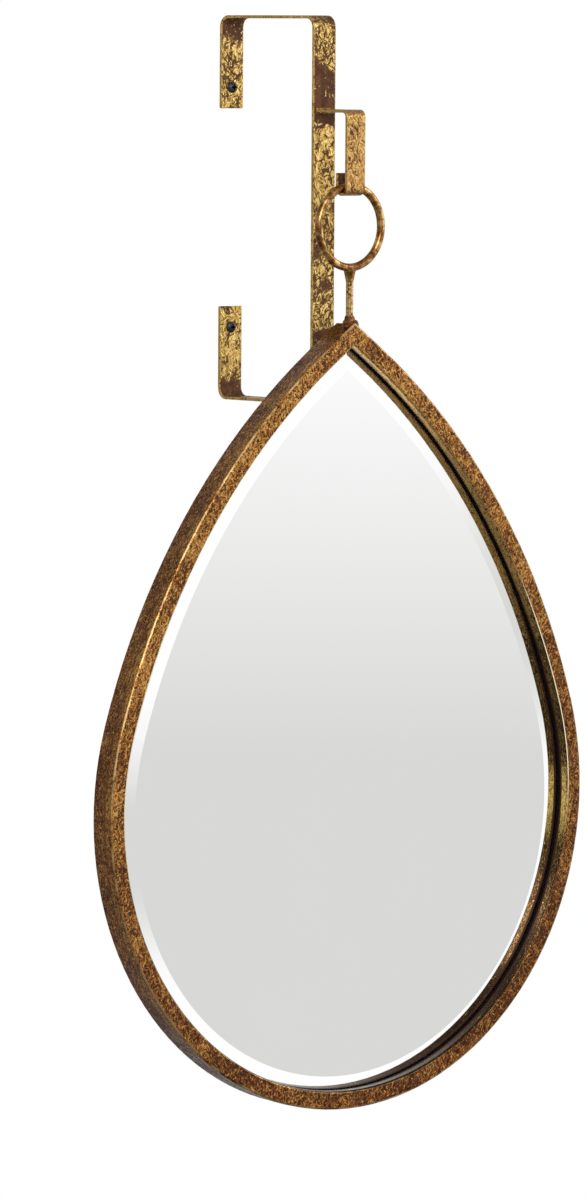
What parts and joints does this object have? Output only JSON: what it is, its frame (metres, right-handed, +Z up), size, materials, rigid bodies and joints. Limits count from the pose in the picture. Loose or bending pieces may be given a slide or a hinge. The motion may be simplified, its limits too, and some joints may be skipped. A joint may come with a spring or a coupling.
{
  "type": "teardrop wall mirror",
  "caption": "Teardrop mirror with bevelled glass in an antique gold metal frame, hung by a ring from a hooked flat-bar bracket that stands it off the wall.",
  "frame": {"origin": "on the face of the wall, midway between the two wall screws", "axes": "+X to the viewer's right, +Y into the wall, so the mirror faces -Y, and +Z up"},
  "size_m": [0.4064, 0.1666, 0.7207],
  "materials": {
    "gold_leaf": "worn gold leaf over a red-brown ground, satin",
    "antique_gold": "mottled bronze and gold, crackled, satin",
    "bronze_gold": "bronze gold, satin",
    "black_screw": "black, satin",
    "silvered_glass": "polished, bevelled edge",
    "pad_felt": "matt black felt",
    "hardboard": "hardboard painted matt black",
    "tab_steel": "bare bent steel"
  },
  "bodies": {
    "bracket": {"wall_bracket": "gold_leaf", "hanging_hook": "gold_leaf", "hook_weld": "gold_leaf", "upper_wall_screw": "black_screw", "lower_wall_screw": "black_screw"},
    "mirror": {"hanger_ring": "bronze_gold", "hanger_stem": "bronze_gold", "ring_weld": "bronze_gold", "apex_weld": "bronze_gold", "frame_bar": "antique_gold", "frame_rim": "antique_gold", "glazing_felt": "pad_felt", "mirror_glass": "silvered_glass", "backing_pad": "pad_felt", "backing_board": "hardboard", "retaining_tab_1": "tab_steel", "retaining_tab_2": "tab_steel", "retaining_tab_3": "tab_steel", "retaining_tab_4": "tab_steel", "retaining_tab_5": "tab_steel", "retaining_tab_6": "tab_steel", "retaining_tab_7": "tab_steel", "retaining_tab_8": "tab_steel", "retaining_tab_9": "tab_steel"}
  },
  "joints": [
    {"name": "mirror_swing", "type": "hinge", "parent": "bracket", "child": "mirror", "pos_m": [0, -0.1243, -0.01023], "axis": [0, 1, 0], "range_deg": [-45, 45]}
  ]
}
